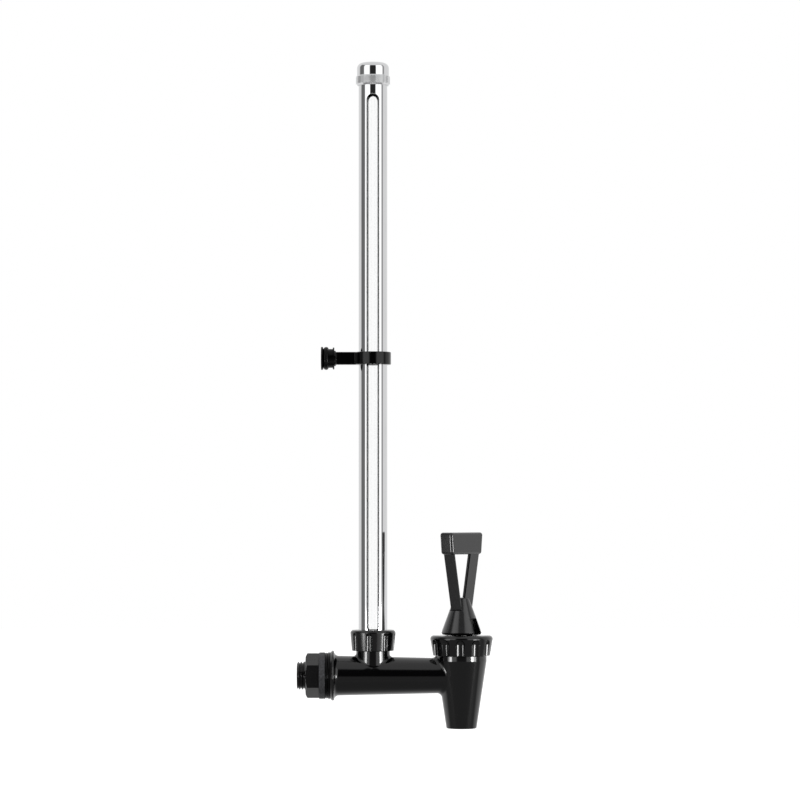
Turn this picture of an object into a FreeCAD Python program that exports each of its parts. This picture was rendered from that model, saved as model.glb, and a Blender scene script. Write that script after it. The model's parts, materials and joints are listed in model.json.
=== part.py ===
import FreeCAD, Part
import Sketcher
import math
import os

# A drinks dispenser's tap with a level gauge on it. X runs along the shank from the tank towards the
# spout, Z is up, and the origin is on the shank's axis at the flange's face towards the tank wall.

DIMENSIONS = {
    # Shank, flange and barrel, along X
    "shank_radius": 7.94,
    "shank_reach": 18.9,
    "shank_chamfer": 0.7,
    "thread_pitch": 1.59,
    "thread_depth": 0.8,
    "thread_turns": 3.0,
    "inlet_radius": 6.2,
    "inlet_length": 19.9,
    "waterway_radius": 5.8,
    "flange_radius": 14.2,
    "flange_peak": 1.1,
    "flange_bevel": 0.9,
    "flange_flare": 2.7,
    "barrel_root_radius": 11.25,
    "barrel_tip_radius": 9.7,
    "barrel_blend": 2.6,
    # Spout and valve chamber, round the spout's axis
    "spout_x": 74.0,
    "spout_drop": 29.8,
    "spout_tip_radius": 8.5,
    "spout_shoulder": 11.2,
    "spout_shoulder_radius": 14.2,
    "spout_land": 2.8,
    "spout_lip": 0.8,
    "outlet_radius": 6.3,
    "outlet_length": 17.8,
    "seat_depth": 8.0,
    "seat_bore_radius": 5.0,
    "seat_land": 0.9,
    "seat_trench": 1.0,
    "chamber_floor_radius": 9.2,
    "chamber_taper_top": 4.0,
    "neck_wall": 1.9,
    "neck_top": 19.0,
    # Tee neck that carries the gauge
    "tee_x": 24.0,
    "tee_radius": 9.5,
    "tee_blend": 1.8,
    "tee_thread_radius": 9.2,
    "tee_shoulder": 14.0,
    "tee_top": 20.0,
    "tee_passage_radius": 4.0,
    "tee_passage_foot": 3.0,
    "gasket_pocket_radius": 7.3,
    "gasket_pocket_floor": 13.4,
    "tee_passage_flare": 2.0,
    # Bonnet
    "bonnet_height": 11.3,
    "bonnet_foot_radius": 16.15,
    "bonnet_wall": 3.1,
    "bonnet_flare": 9.5,
    "bonnet_rounding": 2.0,
    "bonnet_roof": 2.2,
    "bonnet_gap": 0.3,
    "bonnet_thread_gap": 0.15,
    "bonnet_flutes": 12,
    "bonnet_flute_start": -93.0,
    "flute_radius": 3.1,
    "flute_depth": 0.95,
    "flute_lean": 4.0,
    "flute_headroom": 2.0,
    "guide_radius": 3.9,
    "guide_drop": 2.2,
    # Seat cup, stem and spring
    "cup_rim_inset": 0.3,
    "cup_rim_thickness": 1.5,
    "cup_nose_radius": 7.0,
    "cup_nose_corner": 0.7,
    "cup_taper": 0.4,
    "cup_gap": 0.5,
    "cup_wall": 1.35,
    "cup_floor": 2.95,
    "stem_radius": 2.6,
    "stem_foot_radius": 5.2,
    "stem_foot_thickness": 1.5,
    "stem_head": 3.6,
    "stem_fit": 0.05,
    "contact_gap": 0.05,
    "spring_radius": 4.6,
    "spring_wire": 1.0,
    "spring_turns": 7.5,
    "spring_washer_thickness": 0.7,
    # Handle
    "handle_bearing": 55.0,
    "skirt_gap": 0.1,
    "skirt_foot_radius": 11.35,
    "skirt_flat_radius": 8.0,
    "skirt_crown": 0.35,
    "skirt_rounding": 1.2,
    "skirt_height": 21.2,
    "skirt_top_radius": 4.55,
    "skirt_top_rounding": 1.2,
    "cavity_foot_radius": 7.5,
    "cavity_top_radius": 4.2,
    "notch_width": 6.8,
    "notch_height": 9.6,
    "pin_height": 9.0,
    "pin_radius": 1.2,
    "pin_fit": 0.02,
    "pin_blind_end": 6.6,
    "pin_length": 14.4,
    "leg_ledge": 13.8,
    "leg_foot_reach": 5.2,
    "leg_head_reach": 12.6,
    "leg_foot_thickness": 7.0,
    "leg_head_thickness": 7.1,
    "leg_web": 8.3,
    "leg_web_tip": 0.8,
    "leg_flange_tip": 0.6,
    "leg_knee": 2.1,
    "leg_root": 0.8,
    "paddle_foot": 45.6,
    "paddle_height": 12.4,
    "paddle_foot_length": 29.6,
    "paddle_top_length": 32.2,
    "paddle_thickness": 8.6,
    "paddle_rounding": 1.6,
    # Nut and washers that clamp the tank wall
    "flange_washer_thickness": 1.5,
    "flange_washer_radius": 13.15,
    "inner_washer_thickness": 1.5,
    "inner_washer_radius": 12.9,
    "washer_rounding": 0.5,
    "washer_bore_gap": 0.36,
    "nut_washer_thickness": 3.3,
    "nut_washer_radius": 13.1,
    "nut_thickness": 7.6,
    "nut_across_flats": 21.9,
    "nut_chamfer": 1.0,
    "thread_fit": 0.08,
    # Gauge glass, shield and their nut
    "glass_radius": 5.56,
    "glass_bore_radius": 4.0,
    "glass_length": 327.4,
    "glass_foot_gap": 0.6,
    "gasket_flange_thickness": 1.4,
    "gasket_fit": 0.04,
    "shield_radius": 8.1,
    "shield_wall": 0.7,
    "shield_over_glass": 1.4,
    "shield_foot_radius": 9.0,
    "shield_foot_thickness": 1.0,
    "slot_width": 7.2,
    "slot_start": 2.9,
    "slot_end": 14.7,
    "bushing_length": 5.6,
    "bushing_drop": 1.8,
    "slip_washer_thickness": 0.9,
    "gauge_nut_height": 11.65,
    "gauge_nut_foot_radius": 11.9,
    "gauge_nut_flare": 5.0,
    "gauge_nut_rounding": 1.7,
    "gauge_nut_lip": 2.45,
    "gauge_nut_grooves": 8,
    "gauge_nut_groove_start": -100.0,
    "groove_radius": 1.6,
    "groove_depth": 0.9,
    "groove_lean": 2.0,
    "groove_headroom": 1.6,
    # Cap at the top of the gauge
    "cap_drop": 9.6,
    "cap_height": 13.5,
    "cap_radius": 9.05,
    "cap_foot_wall": 0.75,
    "cap_shoulder": 3.2,
    "cap_crown": 0.6,
    "cap_roof": 2.3,
    "cap_corner": 1.5,
    "knurl_radius": 9.65,
    "knurl_start": 1.0,
    "knurl_height": 4.0,
    "knurl_chamfer": 0.6,
    "vent_radius": 0.8,
    "cushion_radius": 6.2,
    "cushion_thickness": 1.2,
    "cushion_bore_radius": 2.0,
    # Bracket and the grommet that holds it in the tank wall
    "bracket_middle": 179.2,
    "bracket_height": 7.2,
    "bracket_radius": 10.2,
    "bracket_fit": 0.08,
    "bracket_rounding": 0.5,
    "arm_end": 2.9,
    "arm_thickness": 4.2,
    "collar_radius": 4.4,
    "collar_thickness": 0.7,
    "collar_root": 0.5,
    "prong_radius": 3.0,
    "prong_length": 6.6,
    "prong_chamfer": 0.6,
    "grommet_lip_radius": 6.2,
    "grommet_lip": 0.8,
    "grommet_neck_radius": 5.35,
    "grommet_neck": 2.55,
    "grommet_ridge_radius": 6.5,
    "grommet_ridge": 2.5,
    "grommet_ridge_drop": 0.6,
    "grommet_groove_radius": 5.3,
    "grommet_groove": 0.3,
    "grommet_tip": 1.3,
}

COS_30 = math.cos(math.radians(30))
TOLERANCE = 1e-6


class Measure:
    """A number together with the sheet expression that gives it."""

    def __init__(self, number, text):
        self.number = number
        self.text = text

    @staticmethod
    def of(value):
        return value if isinstance(value, Measure) else Measure(float(value), repr(float(value)))

    def joined(self, other, sign, work):
        other = Measure.of(other)
        return Measure(work(self.number, other.number), f"({self.text} {sign} {other.text})")

    def __add__(self, other):
        return self.joined(other, "+", lambda a, b: a + b)

    def __sub__(self, other):
        return self.joined(other, "-", lambda a, b: a - b)

    def __mul__(self, other):
        return self.joined(other, "*", lambda a, b: a * b)

    def __truediv__(self, other):
        return self.joined(other, "/", lambda a, b: a / b)

    def __radd__(self, other):
        return Measure.of(other) + self

    def __rsub__(self, other):
        return Measure.of(other) - self

    def __rmul__(self, other):
        return Measure.of(other) * self

    def __neg__(self):
        return Measure.of(0) - self


class Dimensions:
    """The sheet's dimensions, each read by its name as a Measure."""

    def __getattr__(self, name):
        return Measure(float(DIMENSIONS[name]), f"Sizes.{name}")


def tangent(angle):
    return Measure(math.tan(math.radians(angle.number)), f"tan({angle.text} * 1deg)")


size = Dimensions()
doc = FreeCAD.newDocument("tap")

sheet = doc.addObject("Spreadsheet::Sheet", "Sizes")
for row, (name, number) in enumerate(DIMENSIONS.items(), start=1):
    sheet.set(f"A{row}", name)
    sheet.set(f"B{row}", str(number))
    sheet.setAlias(f"B{row}", name)
doc.recompute()

# Levels and places that several pieces share
washer_face = -size.flange_washer_thickness
inner_washer_face = washer_face - size.inner_washer_thickness
nut_washer_face = inner_washer_face - size.nut_washer_thickness - size.contact_gap
nut_end = nut_washer_face - size.nut_thickness - size.contact_gap
bonnet_bore_radius = size.bonnet_foot_radius - size.bonnet_wall
neck_radius = bonnet_bore_radius - size.bonnet_thread_gap
chamber_radius = neck_radius - size.neck_wall
bonnet_foot = size.spout_shoulder + size.bonnet_gap
bonnet_top = bonnet_foot + size.bonnet_height
bonnet_ceiling = bonnet_top - size.bonnet_roof
cup_nose = -size.seat_depth + size.contact_gap
cup_floor_top = cup_nose + size.cup_floor
stem_foot = cup_floor_top + size.contact_gap
stem_foot_top = stem_foot + size.stem_foot_thickness
spring_washer_foot = stem_foot_top + size.contact_gap
spring_foot = spring_washer_foot + size.spring_washer_thickness + size.contact_gap
handle_foot = bonnet_top + size.skirt_gap
pin_level = handle_foot + size.pin_height
shield_foot = size.tee_top + size.gasket_flange_thickness
shield_foot_top = shield_foot + size.shield_foot_thickness
slip_washer_foot = shield_foot_top + size.contact_gap
gauge_nut_seat = slip_washer_foot + size.slip_washer_thickness + size.contact_gap
gauge_nut_top = gauge_nut_seat + size.gauge_nut_lip
gauge_nut_foot = gauge_nut_top - size.gauge_nut_height
shield_bore_radius = size.shield_radius - size.shield_wall
glass_foot = size.gasket_pocket_floor + size.glass_foot_gap
shield_top = glass_foot + size.glass_length + size.shield_over_glass
cap_foot = shield_top - size.cap_drop
cap_top = cap_foot + size.cap_height
cap_ceiling = cap_top - size.cap_roof
collar_face = size.arm_end - size.collar_thickness


def bind(thing, path, value):
    """Sets a property from a measure, and keeps it bound to the sheet."""
    thing.setExpression(path, Measure.of(value).text)


def new_body(label, x=0, z=0, bearing=0):
    """An empty body, placed at x and z and turned by its bearing about the vertical."""
    body = doc.addObject("PartDesign::Body", label)
    body.Label = label
    body.Placement = FreeCAD.Placement(FreeCAD.Vector(), FreeCAD.Rotation(FreeCAD.Vector(0, 0, 1), 1))
    bind(body, "Placement.Rotation.Angle", bearing)
    bind(body, "Placement.Base.x", x)
    bind(body, "Placement.Base.z", z)
    return body


def origin_part(body, role):
    return next(part for part in body.Origin.OriginFeatures if part.Role == role)


def new_sketch(body, name, plane="XZ_Plane", lift=0, shift=0, lean=0):
    """An empty sketch on an origin plane, moved along its normal and its own X, and turned."""
    sketch = body.newObject("Sketcher::SketchObject", name)
    sketch.AttachmentSupport = [(origin_part(body, plane), "")]
    sketch.MapMode = "FlatFace"
    turn = FreeCAD.Rotation(FreeCAD.Vector(0, 0, 1), 1)
    sketch.AttachmentOffset = FreeCAD.Placement(FreeCAD.Vector(), turn)
    bind(sketch, "AttachmentOffset.Rotation.Angle", lean)
    bind(sketch, "AttachmentOffset.Base.z", lift)
    bind(sketch, "AttachmentOffset.Base.x", shift)
    return sketch


def constrain(sketch, value, kind, *where):
    """Adds a dimension to a sketch and binds it to the sheet."""
    value = Measure.of(value)
    number = sketch.addConstraint(Sketcher.Constraint(kind, *where, value.number))
    sketch.setExpression(f"Constraints[{number}]", value.text)


def arc_between(start, end, radius):
    """The shorter arc from start to end, anticlockwise for a positive radius and clockwise for a negative one."""
    chord = end - start
    rise = math.sqrt(max(radius**2 - (chord.Length / 2) ** 2, 0.0))
    left = FreeCAD.Vector(-chord.y, chord.x, 0) / chord.Length
    centre = start + chord / 2 + left * math.copysign(rise, radius)
    first, last = (start, end) if radius > 0 else (end, start)
    angles = [math.atan2(point.y - centre.y, point.x - centre.x) for point in (first, last)]
    circle = Part.Circle(centre, FreeCAD.Vector(0, 0, 1), abs(radius))
    return Part.ArcOfCircle(circle, *angles)


def draw(sketch, corners):
    """Closes an outline through its corners. A corner is (x, y), or (x, y, radius) where an arc arrives."""
    corners = [tuple(Measure.of(value) for value in corner) for corner in corners]
    points = [FreeCAD.Vector(x.number, y.number, 0) for x, y, *_ in corners]
    ends = []
    first = sketch.GeometryCount
    for number, point in enumerate(points):
        arrival = (number + 1) % len(points)
        if len(corners[arrival]) == 3:
            radius = corners[arrival][2]
            edge = sketch.addGeometry(arc_between(point, points[arrival], radius.number), False)
            ends.append((1, 2) if radius.number > 0 else (2, 1))
            constrain(sketch, radius if radius.number > 0 else -radius, "Radius", edge)
        else:
            sketch.addGeometry(Part.LineSegment(point, points[arrival]), False)
            ends.append((1, 2))
    for number, corner in enumerate(corners):
        before = number - 1 if number else len(corners) - 1
        sketch.addConstraint(
            Sketcher.Constraint("Coincident", first + before, ends[before][1], first + number, ends[number][0])
        )
        constrain(sketch, corner[0], "DistanceX", -1, 1, first + number, ends[number][0])
        constrain(sketch, corner[1], "DistanceY", -1, 1, first + number, ends[number][0])
    return sketch


def draw_circle(sketch, x, y, radius):
    x, y, radius = (Measure.of(value) for value in (x, y, radius))
    centre = FreeCAD.Vector(x.number, y.number, 0)
    circle = sketch.addGeometry(Part.Circle(centre, FreeCAD.Vector(0, 0, 1), radius.number), False)
    constrain(sketch, radius, "Radius", circle)
    constrain(sketch, x, "DistanceX", -1, 1, circle, 3)
    constrain(sketch, y, "DistanceY", -1, 1, circle, 3)
    return sketch


def turned(body, name, corners, axis="V_Axis", cut=False, **place):
    """Revolves an outline drawn in the XZ plane, to add it to the body or to cut it away."""
    sketch = draw(new_sketch(body, f"{name}_outline", **place), corners)
    feature = body.newObject("PartDesign::Groove" if cut else "PartDesign::Revolution", name)
    feature.Profile = sketch
    feature.ReferenceAxis = (sketch, [axis])
    feature.Angle = 360
    return feature


def padded(body, name, sketch, length, both_ways=False):
    feature = body.newObject("PartDesign::Pad", name)
    feature.Profile = sketch
    bind(feature, "Length", length)
    if both_ways:
        feature.SideType = "Symmetric"
    return feature


def pocketed(body, name, sketch, length, both_ways=True, backwards=False):
    feature = body.newObject("PartDesign::Pocket", name)
    feature.Profile = sketch
    bind(feature, "Length", length)
    feature.Reversed = backwards
    if both_ways:
        feature.SideType = "Symmetric"
    return feature


def repeated(body, name, feature, count, role="Z_Axis"):
    """Repeats a feature evenly round one of the body's axes."""
    pattern = body.newObject("PartDesign::PolarPattern", name)
    pattern.Originals = [feature]
    pattern.Axis = (origin_part(body, role), [""])
    pattern.Angle = 360
    bind(pattern, "Occurrences", count)
    body.Tip = pattern
    return pattern


def rounded(body, name, radius, chosen):
    """Rounds the chosen edges of what the body is so far."""
    doc.recompute()
    base = body.Tip
    edges = [f"Edge{number}" for number, edge in enumerate(base.Shape.Edges, start=1) if chosen(edge)]
    feature = body.newObject("PartDesign::Fillet", name)
    feature.Base = (base, edges)
    bind(feature, "Radius", radius)
    return feature


def any_edge(edge):
    return True


def ring_outline(foot, top, bore, radius, rounding):
    """Half the section of a ring whose outer edges are rounded, as (across, along) corners."""
    return [
        (bore, foot),
        (radius - rounding, foot),
        (radius, foot + rounding, rounding),
        (radius, top - rounding),
        (radius - rounding, top, rounding),
        (bore, top),
    ]


def along_x(corners):
    """The same outline with its length along X: the corners go round the other way."""
    turned_corners = [(corner[1], corner[0]) for corner in corners]
    radii = [corner[2:] for corner in corners]
    shifted = radii[1:] + radii[:1]
    return [corner + radius for corner, radius in zip(turned_corners[::-1], shifted[::-1])]


def make_tap_body():
    """The one-piece moulding: shank, flange, barrel, tee neck, valve chamber and spout."""
    body = new_body("tap_body")
    shank_end = -size.shank_reach
    flare_start = size.flange_peak + size.flange_bevel
    flare_top = size.barrel_root_radius + size.flange_flare
    turned(
        body,
        "barrel",
        [
            (shank_end, 0),
            (size.spout_x, 0),
            (size.spout_x, size.barrel_tip_radius),
            (flare_start + size.flange_flare, size.barrel_root_radius),
            (flare_start, flare_top, -size.flange_flare),
            (size.flange_peak, size.flange_radius),
            (0, size.flange_radius - size.flange_bevel),
            (0, size.shank_radius),
            (shank_end + size.shank_chamfer, size.shank_radius),
            (shank_end, size.shank_radius - size.shank_chamfer),
        ],
        axis="H_Axis",
    )
    turned(
        body,
        "tee",
        [
            (0, 0),
            (size.tee_radius, 0),
            (size.tee_radius, size.tee_shoulder),
            (size.tee_thread_radius, size.tee_shoulder),
            (size.tee_thread_radius, size.tee_top),
            (0, size.tee_top),
        ],
        shift=size.tee_x,
    )

    def meets_tee(edge):
        box = edge.BoundBox
        near = abs(box.Center.x - size.tee_x.number) < size.tee_radius.number
        below = box.ZMax < size.tee_shoulder.number - TOLERANCE and box.ZMin > TOLERANCE
        return near and below and edge.Curve.TypeId not in ("Part::GeomLine", "Part::GeomCircle")

    rounded(body, "tee_blend", size.tee_blend, meets_tee)
    land_foot = size.spout_shoulder - size.spout_land
    slope = (size.spout_shoulder_radius - size.spout_tip_radius) / (land_foot + size.spout_drop)
    lip_radius = size.spout_tip_radius + slope * size.spout_lip
    turned(
        body,
        "spout",
        [
            (0, -size.spout_drop),
            (lip_radius - size.spout_lip, -size.spout_drop),
            (lip_radius, size.spout_lip - size.spout_drop, size.spout_lip),
            (size.spout_shoulder_radius, land_foot),
            (size.spout_shoulder_radius, size.neck_top),
            (0, size.neck_top),
        ],
        shift=size.spout_x,
    )
    near_spout = size.spout_x.number - size.spout_shoulder_radius.number

    def meets_spout(edge):
        middle = edge.BoundBox.Center
        inside = near_spout - TOLERANCE < middle.x < size.spout_x.number
        return inside and edge.Curve.TypeId not in ("Part::GeomLine", "Part::GeomCircle")

    rounded(body, "spout_blend", size.barrel_blend, meets_spout)
    turned(
        body,
        "neck",
        [
            (neck_radius, size.spout_shoulder),
            (size.spout_shoulder_radius * 1.5, size.spout_shoulder),
            (size.spout_shoulder_radius * 1.5, size.neck_top),
            (neck_radius, size.neck_top),
        ],
        cut=True,
        shift=size.spout_x,
    )
    turned(
        body,
        "waterway",
        [
            (shank_end, 0),
            (size.spout_x, 0),
            (size.spout_x, size.waterway_radius),
            (shank_end + size.inlet_length + size.inlet_radius - size.waterway_radius, size.waterway_radius),
            (shank_end + size.inlet_length, size.inlet_radius),
            (shank_end, size.inlet_radius),
        ],
        axis="H_Axis",
        cut=True,
    )
    seat_rim = size.seat_bore_radius + size.seat_land
    outlet_top = size.outlet_length - size.spout_drop
    turned(
        body,
        "chamber",
        [
            (0, -size.spout_drop),
            (size.outlet_radius, -size.spout_drop),
            (size.outlet_radius, outlet_top),
            (size.seat_bore_radius, outlet_top + size.outlet_radius - size.seat_bore_radius),
            (size.seat_bore_radius, -size.seat_depth),
            (seat_rim, -size.seat_depth),
            (seat_rim + size.seat_trench, -size.seat_depth - size.seat_trench),
            (size.chamber_floor_radius, -size.seat_depth - size.seat_trench),
            (chamber_radius, size.chamber_taper_top),
            (chamber_radius, size.neck_top),
            (0, size.neck_top),
        ],
        cut=True,
        shift=size.spout_x,
    )
    turned(
        body,
        "tee_bore",
        [
            (0, size.tee_passage_foot),
            (size.tee_passage_radius, size.tee_passage_foot),
            (size.tee_passage_radius, size.gasket_pocket_floor - size.tee_passage_flare),
            (size.gasket_pocket_radius, size.gasket_pocket_floor),
            (size.gasket_pocket_radius, size.tee_top),
            (0, size.tee_top),
        ],
        cut=True,
        shift=size.tee_x,
    )
    cut_thread(body, shank_end)
    return body


def cut_thread(body, shank_end):
    """A helical V groove on the stretch of shank that shows past the nut."""
    half = size.thread_pitch * 0.42
    start = shank_end - size.thread_pitch
    root = size.shank_radius - size.thread_depth
    crest = size.shank_radius + size.thread_depth * 0.2
    sketch = draw(
        new_sketch(body, "thread_outline"),
        [(start - half * 0.3, root), (start + half * 0.3, root), (start + half, crest), (start - half, crest)],
    )
    thread = body.newObject("PartDesign::SubtractiveHelix", "thread")
    thread.Profile = sketch
    thread.ReferenceAxis = (sketch, ["H_Axis"])
    thread.Mode = "pitch-turns-angle"
    bind(thread, "Pitch", size.thread_pitch)
    bind(thread, "Turns", size.thread_turns + 0.8)
    return thread


def make_bonnet():
    """The fluted screw-on bonnet with the stem's guide in its roof."""
    body = new_body("bonnet", x=size.spout_x)
    rim = size.bonnet_height - size.bonnet_rounding
    rim_radius = size.bonnet_foot_radius + tangent(size.bonnet_flare) * rim
    turned(
        body,
        "shell",
        [
            (bonnet_bore_radius, bonnet_foot),
            (size.bonnet_foot_radius, bonnet_foot),
            (rim_radius, bonnet_foot + rim),
            (rim_radius - size.bonnet_rounding, bonnet_top, size.bonnet_rounding),
            (size.stem_radius + size.stem_fit, bonnet_top),
            (size.stem_radius + size.stem_fit, bonnet_ceiling - size.guide_drop),
            (size.guide_radius, bonnet_ceiling - size.guide_drop),
            (size.guide_radius, bonnet_ceiling),
            (bonnet_bore_radius, bonnet_ceiling),
        ],
    )
    bind(body, "Placement.Rotation.Angle", size.bonnet_flute_start)
    scoop_row(
        body,
        "flute",
        bonnet_foot,
        size.bonnet_foot_radius,
        size.flute_lean,
        size.bonnet_height - size.flute_headroom,
        size.flute_radius,
        size.flute_depth,
        size.bonnet_flutes,
    )
    return body


def scoop_row(body, name, foot, radius, lean, height, scoop_radius, depth, count):
    """Round-ended scoops up the outside of a flared piece, open at its foot."""
    sketch = new_sketch(body, f"{name}_outline", shift=radius + scoop_radius - depth, lean=-lean)
    bind(sketch, "AttachmentOffset.Base.y", foot)
    straight = height - scoop_radius
    draw(
        sketch,
        [
            (0, -scoop_radius),
            (scoop_radius, -scoop_radius),
            (scoop_radius, straight),
            (0, height, scoop_radius),
        ],
    )
    scoop = body.newObject("PartDesign::Groove", name)
    scoop.Profile = sketch
    scoop.ReferenceAxis = (sketch, ["V_Axis"])
    scoop.Angle = 360
    return repeated(body, f"{name}_row", scoop, count)


def make_seat_cup():
    """The soft cup whose nose closes the seat and whose rim is clamped under the bonnet."""
    body = new_body("seat_cup", x=size.spout_x)
    rim_foot = size.neck_top + size.contact_gap
    rim_top = rim_foot + size.cup_rim_thickness
    nose_corner = size.cup_nose_corner
    waist = size.cup_nose_radius + size.cup_taper
    rim_radius = neck_radius - size.cup_rim_inset
    mouth = chamber_radius - size.cup_gap
    turned(
        body,
        "cup",
        [
            (0, cup_nose),
            (size.cup_nose_radius - nose_corner, cup_nose),
            (size.cup_nose_radius, cup_nose + nose_corner, nose_corner),
            (waist, size.chamber_taper_top),
            (mouth, rim_foot - size.cup_wall),
            (mouth, rim_foot),
            (rim_radius, rim_foot),
            (rim_radius, rim_top),
            (mouth - size.cup_wall, rim_top),
            (mouth - size.cup_wall, rim_foot - size.cup_wall),
            (waist - size.cup_wall, size.chamber_taper_top),
            (size.cup_nose_radius - size.cup_wall, cup_floor_top),
            (0, cup_floor_top),
        ],
    )
    return body


def make_stem():
    """The lifting stem: a foot in the seat cup, a rod through the bonnet and an eye for the pin."""
    body = new_body("stem", x=size.spout_x, bearing=size.handle_bearing)
    shoulder = pin_level + size.stem_head - size.stem_radius
    turned(
        body,
        "rod",
        [
            (0, stem_foot),
            (size.stem_foot_radius, stem_foot),
            (size.stem_foot_radius, stem_foot_top),
            (size.stem_radius, stem_foot_top),
            (size.stem_radius, shoulder),
            (0, pin_level + size.stem_head, size.stem_radius),
        ],
    )
    eye = draw_circle(new_sketch(body, "eye_outline", plane="YZ_Plane"), 0, pin_level, size.pin_radius + size.stem_fit)
    pocketed(body, "eye", eye, size.stem_radius * 4)
    return body


def make_handle_pin():
    """The steel pin that the handle tips on."""
    body = new_body("handle_pin", x=size.spout_x, z=pin_level, bearing=size.handle_bearing)
    corner = 0.2
    near = -size.pin_blind_end
    far = size.pin_length - size.pin_blind_end
    turned(
        body,
        "pin",
        [
            (near, 0),
            (far, 0),
            (far, size.pin_radius - corner),
            (far - corner, size.pin_radius),
            (near + corner, size.pin_radius),
            (near, size.pin_radius - corner),
        ],
        axis="H_Axis",
    )
    return body


def make_handle():
    """The one-piece handle: paddle, two angle-section legs and a hollow skirt that acts as the cam."""
    body = new_body("handle", x=size.spout_x, z=handle_foot, bearing=size.handle_bearing)
    paddle_top = size.paddle_foot + size.paddle_height
    paddle = draw(
        new_sketch(body, "paddle_outline"),
        [
            (-size.paddle_foot_length / 2, size.paddle_foot),
            (size.paddle_foot_length / 2, size.paddle_foot),
            (size.paddle_top_length / 2, paddle_top),
            (-size.paddle_top_length / 2, paddle_top),
        ],
    )
    padded(body, "paddle", paddle, size.paddle_thickness, both_ways=True)
    rounded(body, "paddle_edges", size.paddle_rounding, any_edge)
    head_level = size.paddle_foot + size.leg_root
    foot = leg_section(body, "leg_foot", size.leg_ledge, size.leg_foot_reach, size.leg_foot_thickness)
    head = leg_section(body, "leg_head", head_level, size.leg_head_reach, size.leg_head_thickness)
    leg = body.newObject("PartDesign::AdditiveLoft", "leg")
    leg.Profile = foot
    leg.Sections = [head]
    leg.Ruled = True
    repeated(body, "legs", leg, 2)
    add_skirt(body, head_level)
    return body


def leg_section(body, name, level, reach, thickness):
    """A leg's angle section: a flange across the handle's thickness and a web along its front face."""
    inner = reach - size.leg_web
    front = -thickness / 2
    return draw(
        new_sketch(body, name, plane="XY_Plane", lift=level),
        [
            (inner, front),
            (reach, front),
            (reach, thickness / 2),
            (reach - size.leg_flange_tip, thickness / 2),
            (reach - size.leg_knee, front + size.leg_knee),
            (inner, front + size.leg_web_tip),
        ],
    )


def add_skirt(body, head_level):
    """The skirt, its ledges under the legs, the notches front and back, its hollow and the pin's hole."""
    crown_edge = size.skirt_foot_radius - size.skirt_rounding
    rounding_top = size.skirt_crown + size.skirt_rounding
    top_edge = size.skirt_height - size.skirt_top_rounding
    top_radius = size.skirt_top_radius - size.skirt_top_rounding
    crown_run = crown_edge - size.skirt_flat_radius
    crown_radius = (crown_run * crown_run + size.skirt_crown * size.skirt_crown) / (2 * size.skirt_crown)
    turned(
        body,
        "skirt",
        [
            (0, 0),
            (size.skirt_flat_radius, 0),
            (crown_edge, size.skirt_crown, crown_radius),
            (size.skirt_foot_radius, rounding_top, size.skirt_rounding * 1.05),
            (size.skirt_top_radius, top_edge),
            (top_radius, size.skirt_height, size.skirt_top_rounding * 1.05),
            (0, size.skirt_height),
        ],
    )
    lean = (size.leg_head_reach - size.leg_foot_reach) / (head_level - size.leg_ledge)
    clear_top = size.skirt_height + 1
    clear_reach = size.leg_foot_reach + lean * (clear_top - size.leg_ledge)
    ledge_outline = draw(
        new_sketch(body, "ledge_outline"),
        [
            (size.leg_foot_reach, size.leg_ledge),
            (size.skirt_foot_radius, size.leg_ledge),
            (size.skirt_foot_radius, clear_top),
            (clear_reach, clear_top),
        ],
    )
    ledge = pocketed(body, "ledge", ledge_outline, size.skirt_foot_radius * 2)
    repeated(body, "ledges", ledge, 2)
    notch_outline = draw(
        new_sketch(body, "notch_outline"),
        [
            (-size.notch_width / 2, -1),
            (size.notch_width / 2, -1),
            (size.notch_width / 2, size.notch_height),
            (-size.notch_width / 2, size.notch_height),
        ],
    )
    pocketed(body, "notch", notch_outline, size.skirt_foot_radius * 2 + 2)
    cavity_side = size.pin_height + size.cavity_top_radius / 2
    cavity_top = cavity_side + size.cavity_top_radius / 2
    turned(
        body,
        "cavity",
        [
            (0, -1),
            (size.cavity_foot_radius, -1),
            (size.cavity_foot_radius, 0),
            (size.cavity_top_radius, size.pin_height),
            (size.cavity_top_radius, cavity_side),
            (size.cavity_top_radius / 2, cavity_top, size.cavity_top_radius / 2),
            (0, cavity_top),
        ],
        cut=True,
    )
    hole_outline = new_sketch(body, "pin_hole_outline", plane="YZ_Plane", lift=-size.pin_blind_end)
    draw_circle(hole_outline, 0, size.pin_height, size.pin_radius + size.pin_fit)
    reach = size.pin_blind_end + size.skirt_foot_radius
    pocketed(body, "pin_hole", hole_outline, reach, both_ways=False, backwards=True)


def make_ring(label, foot, top, bore, radius, rounding, x=0, lying=True):
    """A washer: on the shank with its length along X, or standing round a vertical axis at x."""
    body = new_body(label, x=x)
    corners = ring_outline(foot, top, bore, radius, rounding)
    if lying:
        turned(body, "ring", along_x(corners), axis="H_Axis")
    else:
        turned(body, "ring", corners)
    return body


def make_shank_rings():
    """Rubber washers either side of the tank wall, and the plain washer under the nut."""
    bore = size.shank_radius + size.washer_bore_gap
    rounding = size.washer_rounding
    make_ring("flange_washer", washer_face, Measure.of(0), bore, size.flange_washer_radius, rounding)
    make_ring("inner_washer", inner_washer_face, washer_face, bore, size.inner_washer_radius, rounding)
    nut_washer_right = inner_washer_face - size.contact_gap
    make_ring("nut_washer", nut_washer_face, nut_washer_right, bore, size.nut_washer_radius, rounding / 2)


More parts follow.
